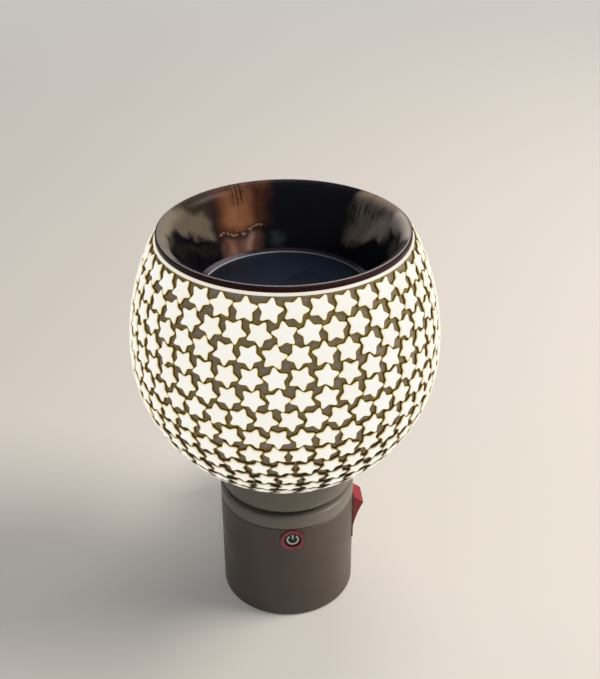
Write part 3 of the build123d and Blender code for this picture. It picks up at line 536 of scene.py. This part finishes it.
def dish_wall(tree, turn, height, foot, top):
    """Black glaze with painted brown and grey reflections that fine streaks break up, and a line of painted
    glints. Gives the fine streaks too.
    """
    edge_turn = spread(tree, noise(tree, scale=85.0), EDGE_NOISE, (-EDGE_TURN, EDGE_TURN))
    wandering = math_node(tree, "ADD", turn, edge_turn)
    span = (foot, foot + WALL_SPAN_SHARE * (top - foot))
    up_wall = spread(tree, height, span, (0.0, WALL_SPAN_SHARE), smooth=False)
    edge_share = spread(tree, noise(tree, scale=150.0), EDGE_NOISE, (-EDGE_SHARE, EDGE_SHARE))
    rise = math_node(tree, "ADD", up_wall, edge_share)
    fine, streaks = dish_streaks(tree, turn, height, rise)
    wall = two_tones(tree, "06060f", "0c0b17", scale=60.0)
    # Painted reflections, one cloud at a time
    for first, last, lowest, highest, slant, tone, broken in PAINTED_REFLECTIONS:
        slope = math_node(tree, "MULTIPLY", math_node(tree, "SUBTRACT", turn, first), slant)
        level = math_node(tree, "SUBTRACT", rise, slope)
        cover = math_node(tree, "MULTIPLY", window(tree, wandering, first, last, REFLECTION_SOFT_TURN),
                          window(tree, level, lowest, highest, REFLECTION_SOFT_SHARE))
        kept = math_node(tree, "SUBTRACT", 1.0, math_node(tree, "MULTIPLY", streaks, broken))
        wall = mix(tree, math_node(tree, "MULTIPLY", cover, kept), wall, srgb(tone))
    # A line of painted glints in the copper reflection
    line = math_node(tree, "MULTIPLY", window(tree, rise, GLINT_SHARE - GLINT_HALF_SHARE,
                                              GLINT_SHARE + GLINT_HALF_SHARE, GLINT_SOFT_SHARE),
                     window(tree, turn, *GLINT_TURNS, GLINT_SOFT_TURN))
    glints = math_node(tree, "MULTIPLY", line,
                       spread(tree, noise(tree, scale=900.0, detail=2.0), GLINT_NOISE, GLINT_COVER))
    return mix(tree, glints, wall, srgb("a8806c")), fine


def dish_inside(tree, foot, top):
    """Navy floor in a painted highlight ring, a dark ledge with painted highlights, and the wall. Gives the
    streaks too.
    """
    height = part_of(tree, place(tree), "Z")
    floor_top = foot + FLOOR_RISE * MM
    ledge = floor_top + LEDGE_RISE * MM
    turn = turn_about_axis(tree)
    wall, fine = dish_wall(tree, turn, height, ledge, top - WALL_DROP * MM)
    # The ledge is dark, with painted highlights over two stretches
    ledge_highlights = [window(tree, turn, first, last, LEDGE_HIGHLIGHT_SOFT) for first, last in LEDGE_HIGHLIGHTS]
    ledge_tone = mix(tree, math_node(tree, "ADD", *ledge_highlights), srgb("2a2832"), srgb("67626c"))
    colour = two_tones(tree, "0a0f1a", "1c2536", scale=45.0)
    # Over the floor's top a pale painted highlight ring, then the ledge and the wall
    for base, edge, layer in ((floor_top, FLOOR_HIGHLIGHT_EDGE, srgb("a3a1ac")), (ledge, LEDGE_EDGE, ledge_tone),
                              (ledge, WALL_EDGE, wall)):
        colour = mix(tree, beyond(tree, height, base, edge), colour, layer)
    return colour, fine


def dish_outside(tree, way_out, distance):
    """One on the dish's outside and underside, by the way that its surface faces, and nothing inside."""
    normal = tree.nodes.new("ShaderNodeTexCoord").outputs["Normal"]
    outwards = math_node(tree, "DIVIDE", vector_node(tree, "DOT_PRODUCT", way_out, normal), distance)
    return math_node(tree, "MAXIMUM", spread(tree, outwards, OUTSIDE_FACING, UP),
                     spread(tree, part_of(tree, normal, "Z"), UNDERSIDE_FACING, DOWN))


def dish_glaze():
    """Dark glaze, with painted reflections inside and plain outside, and a lip with a painted highlight on
    its inner edge.
    """
    material, tree, shader = new_material("dish_glaze", Coat_Weight=0.03, Coat_Roughness=0.2,
                                          Specular_IOR_Level=0.08)
    low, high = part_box("wax_dish")
    inside, fine = dish_inside(tree, low[2], high[2])
    way_out = flat_vector(tree, *from_axis(tree))
    distance = vector_node(tree, "LENGTH", way_out)
    plain = two_tones(tree, "0d090a", "191213", scale=55.0)
    glaze = mix(tree, dish_outside(tree, way_out, distance), inside, plain)
    lip_reach = (high[0] - low[0]) / 2
    across = spread(tree, distance, (lip_reach - LIP_WIDTH * MM, lip_reach), UP, smooth=False)
    # The lip's painted highlight on its inner edge, a dark line and its maroon side
    lip = ramp(tree, across, LIP_STOPS, LIP_TONES)
    coloured = mix(tree, beyond(tree, distance, lip_reach, LIP_EDGE), glaze, lip)
    tree.links.new(coloured, shader.inputs["Base Color"])
    uneven_roughness(tree, shader, scale=240.0, low=0.28, high=0.4)
    bump(tree, shader, fine, strength=0.05, depth=0.1)
    return material


def finish_nodes():
    """Gives each CAD node that stays its material."""
    looks = {
        plastic("base_grey", "584f48", "625851", 0.42): ("base_body", "bottom_cover", "plug_head"),
        # The collar and seat are the base's grey plastic, painted lighter for the globe's light falling on
        # them
        plastic("collar_painted_lit_grey", "7f7a70", "8a857b", 0.4): ("collar_ring", "shade_seat"),
        plastic("insulating_white", "c9c6bf", "d6d3cc", 0.45): ("ring_nut", "plug_retainer", "contact_block"),
        plastic("button_green_black", "060d09", "0f1c12", 0.5): ("power_button",),
        plastic("board_green", "1d4a2a", "265a34", 0.4): ("control_board",),
        plastic("gasket_silicone", "bdb9b0", "cac6bd", 0.6): ("shade_gasket",),
        plastic("wire_black", "141414", "1e1e1e", 0.5): ("live_wire", "switched_wire", "lamp_wire"),
        plastic("wire_white", "c4c2bc", "d2d0ca", 0.5): ("neutral_wire",),
        gloss("switch_black", "070707", "111111", 0.25): ("switch_frame", "bulb_insulator", "tact_plunger"),
        gloss("rocker_red", "9c0e19", "ae1420", 0.3, coat=0.1): ("rocker",),
        gloss("porcelain_white", "dedad0", "ebe7de", 0.2): ("lamp_holder",),
        gloss("capacitor_orange", "9a4a1c", "b45c24", 0.3): ("film_capacitor",),
        metal("screw_steel", "8d8d90", "b4b4b6", 0.3): ("cover_screws", "seat_screws", "board_screws",
                                                        "tact_switch"),
        metal("contact_brass", "a5803c", "c79f55", 0.3): (
            "holder_shell", "holder_contact", "holder_terminals", "switch_tabs", "slip_rings",
            "brush_contacts"),
        metal("plug_nickel", "bebbb5", "cfccc6", 0.3): ("plug_blades", "bulb_cap", "bulb_tip"),
        lens("ring_red", "6a1822", "9a2a38", light_behind=0.08): ("button_ring",),
        lens("led_red", "a01818", "d03028", light_behind=0.6): ("indicator_led",),
        bulb_glass(): ("bulb_envelope", "bulb_stem"),
        filament_glow(): ("filament",),
        globe_glass(): ("shade_globe",),
        dish_glaze(): ("wax_dish",),
    }
    for material, names in looks.items():
        for name in names:
            for slot in nodes[name].material_slots:
                slot.material = material


# Meshes


def build_object(name, points, faces, smooth=True):
    """An object in the scene from points and faces."""
    mesh = bpy.data.meshes.new(name)
    mesh.from_pydata([tuple(p) for p in points], [], [tuple(f) for f in faces])
    mesh.validate()
    mesh.polygons.foreach_set("use_smooth", [smooth] * len(mesh.polygons))
    obj = bpy.data.objects.new(name, mesh)
    bpy.context.scene.collection.objects.link(obj)
    return obj


def add_attribute(obj, name, values):
    """Puts a number on each point, for the shaders."""
    layer = obj.data.attributes.new(name, "FLOAT", "POINT")
    layer.data.foreach_set("value", np.asarray(values, dtype=np.float32))


def ring_faces(rings, count):
    """Faces between closed rings of as many points each, from the lowest ring up."""
    faces = []
    for ring in range(rings - 1):
        for k in range(count):
            a, b = ring * count + k, ring * count + (k + 1) % count
            faces.append((a, b, b + count, a + count))
    return faces


# Star mosaic


def outline_reach(angles):
    """How far a tile's rounded outline is from its centre, in millimetres, with a tip at angle zero."""
    half = math.pi / STAR_TIPS
    offsets = np.radians(np.linspace(-TIP_ROUNDING, TIP_ROUNDING, ROUNDING_SAMPLES))
    folded = np.abs((angles[..., None] + offsets + half) % (2 * half) - half)
    sharp = (TIP_REACH * VALLEY_REACH * math.sin(half)
             / (TIP_REACH * np.sin(folded) + VALLEY_REACH * np.sin(half - folded)))
    return sharp.mean(axis=-1)


def linked_points(first, seen):
    """Points of the tile that a vertex belongs to."""
    points, waiting = [], [first]
    seen.add(first)
    while waiting:
        vert = waiting.pop()
        points.append(np.array(vert.co))
        for edge in vert.link_edges:
            other = edge.other_vert(vert)
            if other not in seen:
                seen.add(other)
                waiting.append(other)
    return np.array(points)


def star_frame(points, middle):
    """Centre of a tile's foot, and its tip direction, side direction and outward direction."""
    thinnest = np.linalg.svd(points - points.mean(axis=0))[2][2]
    out = thinnest * np.sign(thinnest @ (points.mean(axis=0) - middle))
    rise = points @ out
    foot = points[rise < rise.min() + FOOT_SLACK * MM]
    centre = foot.mean(axis=0)
    reach = foot - centre
    tip = reach[np.argmax(np.linalg.norm(reach, axis=1))]
    tip -= out * (tip @ out)
    tip /= np.linalg.norm(tip)
    return centre, tip, np.cross(out, tip), out


def tile_frames():
    """The frame of each star in the CAD node."""
    low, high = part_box("shade_globe")
    middle = (np.array(low) + np.array(high)) / 2
    mesh = bmesh.new()
    mesh.from_mesh(nodes["star_tiles"].data)
    bmesh.ops.remove_doubles(mesh, verts=mesh.verts, dist=SAME_POINT * MM)
    frames, seen = [], set()
    for first in mesh.verts:
        if first not in seen:
            frames.append(star_frame(linked_points(first, seen), middle))
    mesh.free()
    return frames


def tile_shape():
    """Points of one tile in metres, the share of its height that each lies at, and its faces."""
    angles = np.arange(OUTLINE_POINTS) * 2 * math.pi / OUTLINE_POINTS
    reach = outline_reach(angles)
    rings = [np.stack([share * reach * np.cos(angles), share * reach * np.sin(angles),
                       np.full(OUTLINE_POINTS, height)], axis=1) for share, height in TILE_RINGS]
    points = np.concatenate(rings + [np.array([[0, 0, TILE_CROWN]])]) * MM
    shares = [max(0.0, height / TILE_CROWN) for _, height in TILE_RINGS]
    crown = np.append(np.repeat(shares, OUTLINE_POINTS), 1.0)
    top = (len(TILE_RINGS) - 1) * OUTLINE_POINTS
    fan = [(top + k, top + (k + 1) % OUTLINE_POINTS, len(points) - 1) for k in range(OUTLINE_POINTS)]
    return points, crown, ring_faces(len(TILE_RINGS), OUTLINE_POINTS) + fan


def star_mosaic(frames):
    """Every tile as a plump star with an upright foot and a low crown."""
    local, crown, tile_faces = tile_shape()
    points, faces, tones = [], [], []
    for index, (centre, tip, side, out) in enumerate(frames):
        points.append(centre + local[:, :1] * tip + local[:, 1:2] * side + local[:, 2:] * out)
        start = index * len(local)
        faces += [tuple(start + v for v in face) for face in tile_faces]
        tones.append(np.full(len(local), (index * TINT_STEP_SHARE) % 1.0))
    obj = build_object("star_mosaic", np.concatenate(points), faces)
    lowness = np.repeat([max(0.0, -out[2]) for _, _, _, out in frames], len(local))
    add_attribute(obj, "lowness", lowness)
    # The lowest rows get more painted shade: their crown share is lowered, so the dark reaches further up
    add_attribute(obj, "crown", np.tile(crown, len(frames)) - LOW_ROW_SHADE * lowness)
    add_attribute(obj, "tone", np.concatenate(tones))
    obj.data.materials.append(star_glass())
    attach(obj, "lamp")
    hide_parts("star_tiles")


# Grout


def grout_profile():
    """Distance from the axis and height of each row of the grout, a little over the glass."""
    low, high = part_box("shade_globe")
    widest = (high[0] - low[0]) / 2
    globe = nodes["shade_globe"]
    equator = max(globe.data.vertices, key=lambda vert: vert.co.x).co.z
    centre = Vector((AXIS.x, AXIS.y, equator))
    profile = []
    for lift in np.radians(np.linspace(GROUT_LOW, GROUT_HIGH, GROUT_ROWS)):
        way = Vector((math.cos(lift), 0, math.sin(lift)))
        _, spot, _, _ = globe.ray_cast(centre + way * widest * RAY_START_SHARE, -way)
        spot = spot + way * GROUT_DEPTH * MM
        profile.append((spot.x - AXIS.x, spot.z))
    return np.array(profile)


def room_to_tiles(points, heights, frames):
    """Distance in millimetres from each point of the grout to the nearest tile, up to the limit."""
    room = np.full((GROUT_ROWS, GROUT_COLUMNS), ROOM_LIMIT)
    margin = (TIP_REACH + ROOM_LIMIT) * MM
    columns_per_radian = GROUT_COLUMNS / (2 * math.pi)
    for spot, tip, side, _ in frames:
        right, back = spot[0] - AXIS.x, spot[1] - AXIS.y
        rows = np.nonzero(np.abs(heights - spot[2]) < margin)[0]
        span = margin / max(math.hypot(right, back) - margin, LEAST_RADIUS * MM)
        steps = int(span * columns_per_radian) + 1
        middle = int(math.atan2(back, right) * columns_per_radian)
        columns = np.arange(middle - steps, middle + steps + 1) % GROUT_COLUMNS
        patch = np.ix_(rows, columns)
        away = (points[patch] - spot) / MM
        x, y = away @ tip, away @ side
        gap = np.hypot(x, y) - outline_reach(np.arctan2(y, x))
        room[patch] = np.minimum(room[patch], gap)
    return np.clip(room, 0.0, ROOM_LIMIT)


def grout_layer(frames):
    """A thin layer over the globe's outside that knows how far each point is from the nearest tile."""
    profile = grout_profile()
    reach, height = profile[:, :1], profile[:, 1:]
    turns = np.arange(GROUT_COLUMNS) * 2 * math.pi / GROUT_COLUMNS
    points = np.stack([AXIS.x + reach * np.cos(turns), AXIS.y + reach * np.sin(turns),
                       np.repeat(height, GROUT_COLUMNS, axis=1)], axis=-1)
    obj = build_object("grout_layer", points.reshape(-1, 3), ring_faces(GROUT_ROWS, GROUT_COLUMNS))
    add_attribute(obj, "room", room_to_tiles(points, profile[:, 1], frames).reshape(-1) / ROOM_LIMIT)
    obj.data.materials.append(grout())
    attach(obj, "lamp")


# Power symbol


def symbol_ring():
    """Pairs of points across the stroke of a ring that is open at the top."""
    ring = []
    for step in range(SYMBOL_STEPS + 1):
        angle = math.radians(QUARTER_TURN + SYMBOL_GAP + (FULL_TURN - 2 * SYMBOL_GAP) * step / SYMBOL_STEPS)
        for radius in (SYMBOL_RADIUS - SYMBOL_STROKE / 2, SYMBOL_RADIUS + SYMBOL_STROKE / 2):
            ring.append((radius * math.cos(angle), radius * math.sin(angle)))
    return ring


def symbol_bar():
    """Pairs of points across the stroke of the bar in the ring's opening."""
    half = SYMBOL_STROKE / 2
    return [(x, z) for z in (BAR_START_SHARE * SYMBOL_RADIUS, SYMBOL_RADIUS + half) for x in (half, -half)]


def power_symbol():
    """A ring open at the top with a bar in the opening, printed on the round button."""
    low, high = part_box("power_button")
    centre = Vector(((low[0] + high[0]) / 2, low[1], (low[2] + high[2]) / 2))
    points, faces = [], []
    for strip in (symbol_ring(), symbol_bar()):
        start = len(points)
        for x, z in strip:
            for depth in (SYMBOL_RAISE, -SYMBOL_RAISE):
                points.append(centre + Vector((x * MM, depth * MM, z * MM)))
        for a in range(start, len(points) - 4, 4):
            faces += [(a + 1, a + 3, a + 7, a + 5), (a, a + 1, a + 5, a + 4), (a + 3, a + 2, a + 6, a + 7)]
    obj = build_object("power_symbol", points, faces, smooth=False)
    obj.data.materials.append(gloss("symbol_white", "e9eee6", "f5f8f1", 0.3))
    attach(obj, "button")


# Studio


def seen_rays(tree):
    """One for rays from the camera, from gloss and through glass, and nothing for rays that light things."""
    path = tree.nodes.new("ShaderNodeLightPath").outputs
    seen = math_node(tree, "MAXIMUM", path["Is Camera Ray"], path["Is Glossy Ray"])
    return math_node(tree, "MAXIMUM", seen, path["Is Transmission Ray"])


def pale_floor():
    """A plain floor under the foot that glows a little where it is seen, more so far away."""
    bpy.ops.mesh.primitive_plane_add(size=FLOOR_SIZE * MM, location=AXIS)
    floor = bpy.context.object
    floor.name = "floor"
    material, tree, shader = new_material("floor_pale", Roughness=0.8, Specular_IOR_Level=0.1,
                                          Emission_Color=srgb("d4d3d0"))
    tree.links.new(two_tones(tree, "d2d1ce", "d6d5d2", scale=2.0), shader.inputs["Base Color"])
    near, far = FLOOR_GLOW_REACH
    strength = spread(tree, vector_node(tree, "LENGTH", place(tree)), (near * MM, far * MM), FLOOR_GLOW)
    tree.links.new(math_node(tree, "MULTIPLY", seen_rays(tree), strength), shader.inputs["Emission Strength"])
    floor.data.materials.append(material)


def pale_world():
    """An even pale world, brighter where it is seen than as a light."""
    world = bpy.data.worlds.new("studio")
    bpy.context.scene.world = world
    world.use_nodes = True
    tree = world.node_tree
    background = tree.nodes["Background"]
    background.inputs["Color"].default_value = srgb("c4c4c6")
    added = math_node(tree, "MULTIPLY", seen_rays(tree), WORLD_SEEN)
    tree.links.new(math_node(tree, "ADD", added, WORLD_LIGHT), background.inputs["Strength"])


def soft_lamps():
    """Round lamps aimed at the middle of the object."""
    target = AXIS + Vector((0, 0, LAMP_AIM * MM))
    for name, azimuth, elevation, distance, width, power, tint in LAMPS:
        lamp = bpy.data.lights.new(name, "AREA")
        lamp.shape = "DISK"
        lamp.size = width * MM
        lamp.energy = power
        lamp.color = srgb(tint)[:3]
        holder = bpy.data.objects.new(name, lamp)
        bpy.context.scene.collection.objects.link(holder)
        turn, rise = math.radians(azimuth), math.radians(elevation)
        back = Vector((math.sin(turn) * math.cos(rise), -math.cos(turn) * math.cos(rise), math.sin(rise)))
        holder.location = target + back * distance * MM
        holder.rotation_euler = back.to_track_quat("Z", "Y").to_euler()


def camera():
    """The photograph's camera, turned about the lamp's own axis."""
    turn = math.radians(CAMERA_TURN)
    eye = bpy.data.objects.new("camera", bpy.data.cameras.new("camera"))
    bpy.context.scene.collection.objects.link(eye)
    eye.data.sensor_width = SENSOR
    eye.data.lens = FOCAL_PIXELS / PHOTO_HEIGHT * SENSOR
    eye.data.clip_start = CAMERA_NEAR * MM
    rotation = (Matrix.Rotation(turn - math.radians(CAMERA_YAW), 3, "Z")
                @ Matrix.Rotation(math.radians(QUARTER_TURN - CAMERA_PITCH), 3, "X")
                @ Matrix.Rotation(math.radians(CAMERA_ROLL), 3, "Z"))
    eye.rotation_euler = rotation.to_euler()
    eye.location = AXIS + Vector((CAMERA_REACH * math.sin(turn), -CAMERA_REACH * math.cos(turn),
                                  CAMERA_RISE)) * MM
    bpy.context.scene.camera = eye


finish_nodes()
tiles = tile_frames()
star_mosaic(tiles)
grout_layer(tiles)
power_symbol()
pale_floor()
pale_world()
soft_lamps()
camera()
bpy.context.scene.view_settings.view_transform = "Standard"
